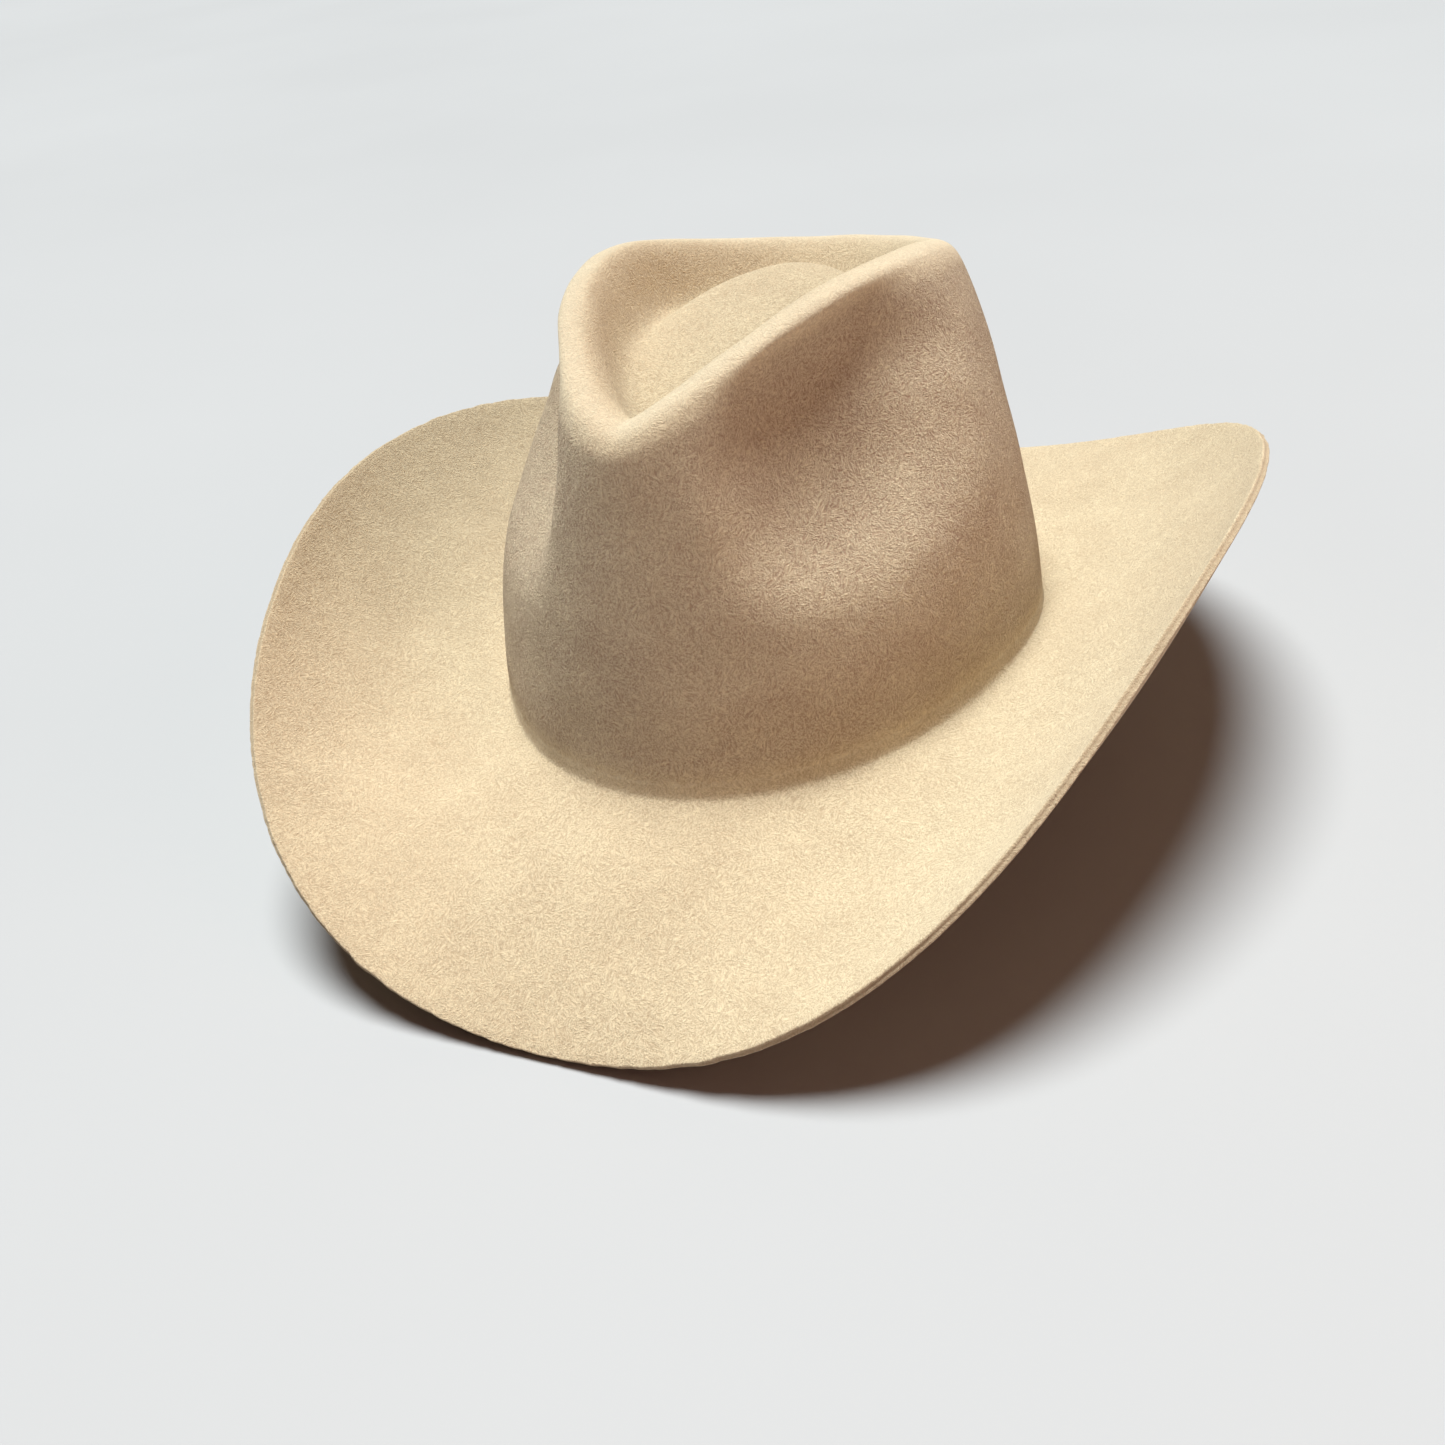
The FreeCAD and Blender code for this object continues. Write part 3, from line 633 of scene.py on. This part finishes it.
def build_felt():
    """Crown and brim: outer face, cut edge and inner face as one closed mesh."""
    samples = 720
    t = turns(samples)
    cage = felt_cage()
    u = np.linspace(0, 1, 262)
    outer = surface(cage, u, samples)
    inner = surface(inner_cage(cage, FELT), np.linspace(0, 1, 180), samples)
    # the cut edge: two soft lips with a shallow groove between them, as shares of the
    # thickness and millimetres outwards
    top, low = outer[-1], inner[-1]
    outward = unit(outer[-1] - outer[-2])
    ragged = (waves(top, 3.2, 30, 3) * 0.07 + waves(top, 9.0, 20, 4) * 0.08)[:, None]
    profile = ((0.0, -0.45), (0.03, -0.18), (0.09, 0.02), (0.19, 0.10), (0.32, 0.04), (0.44, -0.16),
               (0.56, -0.16), (0.68, 0.04), (0.81, 0.10), (0.91, 0.02), (0.97, -0.18), (1.0, -0.45))
    rim = [top + (low - top) * a + outward * (b + ragged) for a, b in profile]
    outer, inner = outer[:-1], inner[:-1][::-1]
    rings = hand_blocked(np.concatenate([outer, rim, inner]), len(outer), len(rim))

    def painted(values, start=0):
        """A value for every point: these on the loops from start on, and zero elsewhere."""
        full = np.zeros(rings.shape[:2])
        full[start:start + len(values)] = values
        return np.append(full.ravel(), (0.0, 0.0))

    # cut: the middle of the raw edge, which carries the painted shade of its groove
    cut = np.array([[max(0.0, 1.0 - (abs(a - 0.5) / 0.42) ** 2)] for a, b in profile])
    # sewn: the pressed line on the crown's wall, level with the stitches
    rise = outer[..., 2] - around(BREAK_HEIGHT, t)
    reach = np.linalg.norm(np.stack(break_line(t)[:2], -1), axis=-1) + 0.6
    on_wall = (np.linalg.norm(outer[..., :2], axis=-1) < reach) * (rise < 12)
    sewn = np.exp(-0.5 * ((rise - STITCH_UP - 0.6) / 0.55) ** 2) * on_wall
    # worn: handling keeps the nap of the folded ridge brushed and light
    # painted highlight: the folded ridge is painted lighter, as the light from above falls on it
    place = u[:len(outer)]
    ridge_highlight = np.exp(-((place - RIDGE_ROW) / 0.036) ** 2)[:, None]
    # nap: painted shade, and a deeper nap relief, on the wall between ridge and break line
    nap = smooth(np.clip(np.minimum(place - RIDGE_ROW - 0.03, BREAK_ROW - place) / 0.05, 0, 1))[:, None]

    verts, faces = shell(rings, (outer[0].mean(0), inner[-1].mean(0)))
    felt = make("hat_felt", verts, [f[::-1] for f in faces], "felt_body", "felt",
                {"cut": painted(cut, len(outer)), "sewn": painted(sewn), "ridge_highlight": painted(ridge_highlight),
                 "nap": painted(nap)})
    wear(felt, felt_material())


build_felt()

# ------------------------------------------------------------------ sweatband and its trims
def leather_in(h):
    """The leather stands upright low down and its free top edge leans in."""
    lean = np.maximum(0.0, (h - LEATHER_LEAN_FROM) / (LEATHER_TOP - LEATHER_LEAN_FROM))
    return LEATHER_IN + LEATHER_LEAN * lean ** 2


def leather_shape(t, depth, h):
    """The top edge waves a little; pressed lines run below it and above the stitches."""
    face = depth > leather_in(h)
    rise = np.clip((h - 28.0) / 22.0, 0, 1)
    h = h + rise * 0.35 * np.sin(3 * t + 1.0)
    depth = depth + rise ** 2 * (0.25 + 0.25 * np.sin(5 * t))
    press = np.exp(-0.5 * ((h - LEATHER_TOP + 4.5) / 0.45) ** 2)
    press = press + np.exp(-0.5 * ((h - 8.5) / 0.4) ** 2)
    return depth - face * 0.16 * press, h


# closer rows where the pressed lines are; half the thickness is left for the rounded ends
leather_h = np.concatenate([np.linspace(LEATHER_LOW + LEATHER / 2, 11, 28), np.linspace(11.5, 43.5, 34),
                            np.linspace(44, LEATHER_TOP - LEATHER / 2, 26)])
leather = band("sweatband_leather", [(leather_in(h), h) for h in leather_h], LEATHER, 360,
               leather_shape, node="sweatband", slot="leather")
wear(leather, leather_material())

# the tape runs down behind the leather and wraps the reed
fold = REED_IN - TAPE_IN
tape_path = [(TAPE_IN, h) for h in np.linspace(TAPE_TOP, 1.6, 12)]
tape_path += [(REED_IN + fold * math.cos(a), fold * math.sin(a))
              for a in np.radians(np.linspace(180, 440, 27))]
tape = band("reed_tape_cloth", tape_path, TAPE, 360, node="reed_tape", slot="tape_cloth")
wear(tape, cloth_material("tape_cloth", (0.30, 0.21, 0.12), (0.50, 0.38, 0.24), 1.6, 1.6))
wear(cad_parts["sweatband_reed"], plastic_material())


def build_stitches():
    """Lock stitches all round the leather, and a zigzag over its butted ends at the back."""
    stitches = []
    s = np.linspace(-1, 1, 9)
    face_in = LEATHER_IN + LEATHER / 2 + STITCH_R * 0.55
    for k in range(STITCH_COUNT):
        mid = FULL_TURN * (k + 0.5) / STITCH_COUNT
        height = STITCH_UP + 0.35 * s + rng.normal(0, 0.05)
        path = inside(mid + s * (STITCH_LONG / 2 / HEAD_RADIUS), face_in - 0.30 * np.abs(s) ** 4, height)
        stitches.append(tube(path, STITCH_R * (1 - 0.25 * s ** 6), 8))
    s = np.linspace(0, 1, 7)
    for k in range(ZIG_COUNT):
        h = ZIG_LOW + (k + s) * ZIG_RISE
        side = ZIG_WIDE * np.where(k % 2, 1 - 2 * s, 2 * s - 1) / BACK_RADIUS
        lift = leather_in(h) + LEATHER / 2 + 0.68 - 0.22 * np.abs(2 * s - 1) ** 4
        stitches.append(tube(inside(math.pi + side, lift, h), ZIG_R, 6))
    verts, faces = join(stitches)
    wear(make("sweatband_thread", verts, faces, "sweatband_stitching", "thread"), thread_material())


build_stitches()

# the seam tape lies on the leather and steps over the stitches low down
seam_in = LEATHER / 2 + 0.28
seam_path = [(seam_in + leather_in(h) + 0.75 * float(np.clip((11.0 - h) / 4.0, 0, 1)), h)
             for h in np.linspace(SEAM_LOW, SEAM_TOP, 40)]
seam = strip("back_seam_tape", seam_path, 0.4, math.pi, SEAM_WIDE,
             lambda across, depth, h: (depth, h + 0.12 * np.sin(9 * across + 2)),
             node="sweatband_seam_tape", slot="tape_cloth")
wear(seam, cloth_material("seam_cloth", (0.32, 0.23, 0.13), (0.52, 0.40, 0.26), 2.0, 2.0))


def build_bow():
    """Ribbon bow: two loops, two cut tails and a wrapped knot."""
    high = np.array(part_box("sweatband_bow")[1]) / MM
    back, z = high[1], high[2] - 3.6
    bend = HEAD_HALF_WIDTH ** 2 / HEAD_HALF_LENGTH
    parts = []

    def ribbon(line, wide, spine=(0, 0, 1), notch=0.0):
        """Strip of ribbon along a line; wide may vary and its edges cup slightly."""
        thick = 0.45
        p = np.asarray(line, float)
        n = len(p)
        wide = np.broadcast_to(np.asarray(wide, float), (n,))
        tangent = unit(np.gradient(p, axis=0))
        up = np.broadcast_to(np.asarray(spine, float), p.shape)
        up = unit(up - tangent * (up * tangent).sum(1, keepdims=True))
        out = np.cross(tangent, up)
        cols = np.linspace(-1, 1, 9)
        ring = []
        for q in (1, -1):
            for c in cols[::q]:
                end = tangent * (notch * (abs(c) - 0.5) * 2 * np.linspace(0, 1, n) ** 6)[:, None]
                ring.append(p + up * (wide / 2 * c)[:, None] + end
                            + out * (q * thick / 2 + 0.25 * (c * c - 0.3)))
        ring = np.array(ring).transpose(1, 0, 2)
        m = ring.shape[1]
        faces = grid_faces(n, m) + [tuple(range(m))[::-1], tuple(range((n - 1) * m, n * m))]
        return ring.reshape(-1, 3), faces

    for side in (-1, 1):
        # a loop, out and back
        a = np.linspace(0, math.pi, 33)
        x = 0.6 + 13.0 * np.sin(a) ** 0.85
        y = back - 2.4 - x * x / 2 / bend + np.cos(a) * (0.75 + 1.35 * np.sin(a) ** 2)
        line = np.stack([side * x, y, z + 0.6 * np.sin(a) + 0 * x], -1)
        parts.append(ribbon(line, 3.4 + 3.1 * np.sin(a) ** 0.7))
        # a tail, hanging outwards, with its end cut to a notch
        s = np.linspace(0, 1, 19)
        x = 0.4 + 7.6 * s
        y = back - (2.9 if side > 0 else 2.2) - x * x / 2 / bend - 0.4 * np.sin(s * 3)
        line = np.stack([side * x, y, z - 0.5 - 10.6 * s ** 1.1], -1)
        parts.append(ribbon(line, 3.4 + 2.4 * s ** 0.6, spine=(1, 0, side * 0.75), notch=1.1))
    # knot: a short wrap of the same ribbon
    rows, sides = 9, 24
    a = np.linspace(0, FULL_TURN, sides + 1)[:-1]
    wrap = []
    for r in np.linspace(-1, 1, rows):
        grow = 1.0 - 0.16 * r * r
        wrap.append(np.stack([r * 2.4 + 0 * a, back - 2.25 + 1.9 * grow * np.cos(a),
                              z + 2.9 * grow * np.sin(a) + 0.15 * np.sin(3 * a + r)], -1))
    ends = [tuple(range(sides))[::-1], tuple(range((rows - 1) * sides, rows * sides))]
    parts.append((np.concatenate(wrap), grid_faces(rows, sides) + ends))
    verts, faces = join(parts)
    bow = make("seam_bow", verts, faces, "sweatband_bow", "ribbon")
    wear(bow, cloth_material("ribbon", (0.15, 0.08, 0.04), (0.30, 0.18, 0.10), 1.4, 3.2,
                             rough=0.5, gloss=0.4, relief=0.6))


build_bow()

# ------------------------------------------------------------------ lining
# each fold: phase, count round the hat, weight
folds = [(rng.uniform(0, 6.28), rng.integers(24, 62), rng.uniform(0.3, 1.0)) for _ in range(9)]


def gather(t):
    """Uneven folds round the hat, about one unit deep."""
    total = sum(a * np.sin(k * t + p) for p, k, a in folds)
    return np.maximum(total / 3.2, -0.35)


def liner_shape(t, depth, h):
    """Soft upright gathers between the leather's top edge and the piping."""
    free = np.clip((h - 49.0) / 9.0, 0, 1) * np.clip((LINER_TOP - h) / 4.0, 0.25, 1)
    return depth + free * (0.45 + 0.75 * gather(t + 0.004 * np.sin(h))), h


side_h = np.concatenate([np.linspace(LINER_LOW, 50, 12), np.linspace(51.5, LINER_TOP - 0.3, 34)])
side_u = (side_h - LINER_LOW) / (LINER_TOP - LINER_LOW)
side_in = LINER_IN + (LINER_TOP_IN - LINER_IN) * np.maximum(0, (side_u - 0.62) / 0.38) ** 1.5
liner = band("side_lining", list(zip(side_in, side_h)), SATIN_LOOK, 1080, liner_shape,
             node="liner_side", slot="satin")
satin = cloth_material("satin", (0.40, 0.27, 0.15), (0.60, 0.45, 0.28), 3.0, 2.2, rough=0.36,
                       sheen=0.1, gloss=0.7, relief=0.18, twill=1.0)
wear(liner, satin)

t = turns(720)
spine = inside(t, LINER_TOP_IN + SATIN / 2 + PIPING_R + 0.25, LINER_TOP - PIPING_R - 0.1)
uneven = 1 + 0.025 * np.sin(190 * t) + 0.02 * np.sin(77 * t)
verts, faces = tube(spine, PIPING_R * uneven, 14, closed=True)
piping = make("lining_piping", verts, faces, "liner_piping", "piping_cloth")
wear(piping, cloth_material("piping_cloth", (0.26, 0.16, 0.08), (0.42, 0.28, 0.16), 2.4, 2.4,
                            rough=0.42, gloss=0.6, relief=0.3, twill=1.0))


def build_tip():
    """Oval of satin closing the top of the lining, lightly puckered where it is sewn."""
    samples = 360
    t = turns(samples)
    rim = inside(t, LINER_TOP_IN, LINER_TOP)
    shares = np.concatenate([[0.06], np.linspace(0.12, 0.9, 34), np.linspace(0.915, 1.0, 12)])
    faces_of_cloth = []
    for lift in (0.15, 0.15 + SATIN_LOOK):
        rows = []
        for k in shares:
            up = TIP_RISE * min(1.0, (1.0 - k) / (1.0 - TIP_FLAT))
            up = TIP_RISE * (1 - (1 - up / TIP_RISE) ** 1.6)
            y = TIP_CENTRE + (rim[:, 1] - TIP_CENTRE) * k
            p = np.stack([rim[:, 0] * k, y, rim[:, 2] + lift + up], -1)
            pucker = np.exp(-((k - 0.97) / 0.06) ** 2) * gather(t) * 0.30
            p[:, 2] += pucker + waves(p * (1, 1, 0), 34.0, 16, 21) * 0.16 * (1 - k ** 6) * (k > 0.6)
            rows.append(p)
        faces_of_cloth.append(np.array(rows))
    low, high = faces_of_cloth
    verts, faces = shell(np.concatenate([low, high[::-1]]), (low[0].mean(0), high[0].mean(0)))
    return wear(make("tip_lining", verts, faces, "liner_tip", "satin"), satin)


tip = build_tip()


def build_protector():
    """Clear oval sheet with a welded border, sewn under the tip."""
    low, high = (np.array(c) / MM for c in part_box("tip_protector"))
    mid, half = (low + high) / 2, (high - low) / 2
    samples = 180
    a = turns(samples)
    # share of the way out and step in height: a flat sheet, the welded groove, the rounded edge
    under = ((0.0005, 0), (0.3, 0), (0.6, 0), (0.88, 0), (0.90, -0.10), (0.93, -0.10), (0.95, 0),
             (0.99, 0), (1.0, half[2]))
    over = (0.99, 0.6, 0.0005)
    rows = [np.stack([mid[0] + half[0] * k * np.sin(a), mid[1] - half[1] * k * np.cos(a), z + 0 * a], -1)
            for k, z in [(k, low[2] + step) for k, step in under] + [(k, high[2]) for k in over]]
    faces = grid_faces(len(rows), samples)
    faces += [tuple(range(samples))[::-1], tuple(range((len(rows) - 1) * samples, len(rows) * samples))]
    made = make("clear_protector", np.array(rows), faces, "tip_protector", "clear_vinyl")
    wear(made, vinyl_material())


build_protector()

# the tag stands in the gap between lining and leather, and leans in above the leather
gap_in = (LINER_IN + SATIN / 2 + LEATHER_IN - LEATHER / 2) / 2
tag_h = np.linspace(TAG_LOW, TAG_TOP, 30)
tag_in = gap_in + 0.08 + np.interp(tag_h, (0, 51.5, 55, 59, TAG_TOP), (0, 0, 1.0, 2.0, 3.1))
tag = strip("blank_tag", list(zip(tag_in, tag_h)), TAG_LOOK, math.radians(TAG_ANGLE), TAG_WIDE,
            lambda across, depth, h: (depth + 0.5 * np.clip((h - 56) / 7, 0, 1) * across * across, h),
            node="size_tag", slot="tag_cloth")
wear(tag, cloth_material("tag_cloth", (0.62, 0.60, 0.54), (0.84, 0.82, 0.76), 2.6, 2.6, rough=0.75))

# ------------------------------------------------------------------ floor, light and camera
FLOOR_HALF, FLOOR_BELOW = 12.0, 0.001                # metres
level_z = CAD_BOX[0].z - FLOOR_BELOW
mesh = bpy.data.meshes.new("floor")
mesh.from_pydata([(x * FLOOR_HALF, y * FLOOR_HALF, level_z)
                  for x, y in ((-1, -1), (1, -1), (1, 1), (-1, 1))], [], [(0, 1, 2, 3)])
floor = bpy.data.objects.new("floor", mesh)
bpy.context.scene.collection.objects.link(floor)
wear(floor, floor_material())


def light(name, kind, place, target, power, colour):
    """Lamp at a place, aimed at a target; both in metres."""
    data = bpy.data.lights.new(name, kind)
    data.energy, data.color = power, colour
    lamp = bpy.data.objects.new(name, data)
    bpy.context.scene.collection.objects.link(lamp)
    lamp.location = place
    lamp.rotation_euler = (Vector(target) - Vector(place)).to_track_quat("-Z", "Y").to_euler()
    return data


# a wide soft light overhead, a weak warm one from the wearer's left, and a dim warm room
WARM_ROOM = (1.0, 0.52, 0.41, 1.0)
overhead = light("overhead", "SUN", (-0.12, 0.08, 1.42), (0, 0, 0), 6.1, (0.95, 1.015, 1.04))
overhead.angle = math.radians(27.0)
fill = light("side_fill", "AREA", (1.5, -0.5, 0.6), (0, 0, 0.05), 6.0, (1.0, 0.52, 0.38))
fill.shape, fill.size = "DISK", 1.2
world = bpy.data.worlds.new("studio")
world.use_nodes = True
room = world.node_tree.nodes["Background"].inputs
room["Color"].default_value = WARM_ROOM
room["Strength"].default_value = 0.08
bpy.context.scene.world = world
bpy.context.scene.view_settings.view_transform = "Standard"

AZIMUTH, ELEVATION, ROLL = 28.76, 30.15, -8.05       # degrees
ASIDE, ABOVE, AWAY = 0.01770, -0.03452, 0.58345      # the row origin in the camera's own axes, metres
FOCAL = 1680.0 / 1445.0                              # focal length in picture widths
SENSOR = 36.0                                        # millimetres
camera_data = bpy.data.cameras.new("camera")
camera_data.sensor_width = SENSOR
camera_data.lens = SENSOR * FOCAL
camera_data.clip_start, camera_data.clip_end = 0.01, 100.0
camera = bpy.data.objects.new("camera", camera_data)
bpy.context.scene.collection.objects.link(camera)
a, e, r = (math.radians(v) for v in (AZIMUTH, ELEVATION, ROLL))
back = Vector((math.sin(a) * math.cos(e), -math.cos(a) * math.cos(e), math.sin(e)))
right = Vector((math.cos(a), math.sin(a), 0.0))
up = back.cross(right)
right, up = right * math.cos(r) + up * math.sin(r), up * math.cos(r) - right * math.sin(r)
place = -(right * ASIDE - up * ABOVE - back * AWAY)
camera.matrix_world = Matrix.Translation(place) @ Matrix((right, up, back)).transposed().to_4x4()
bpy.context.scene.camera = camera
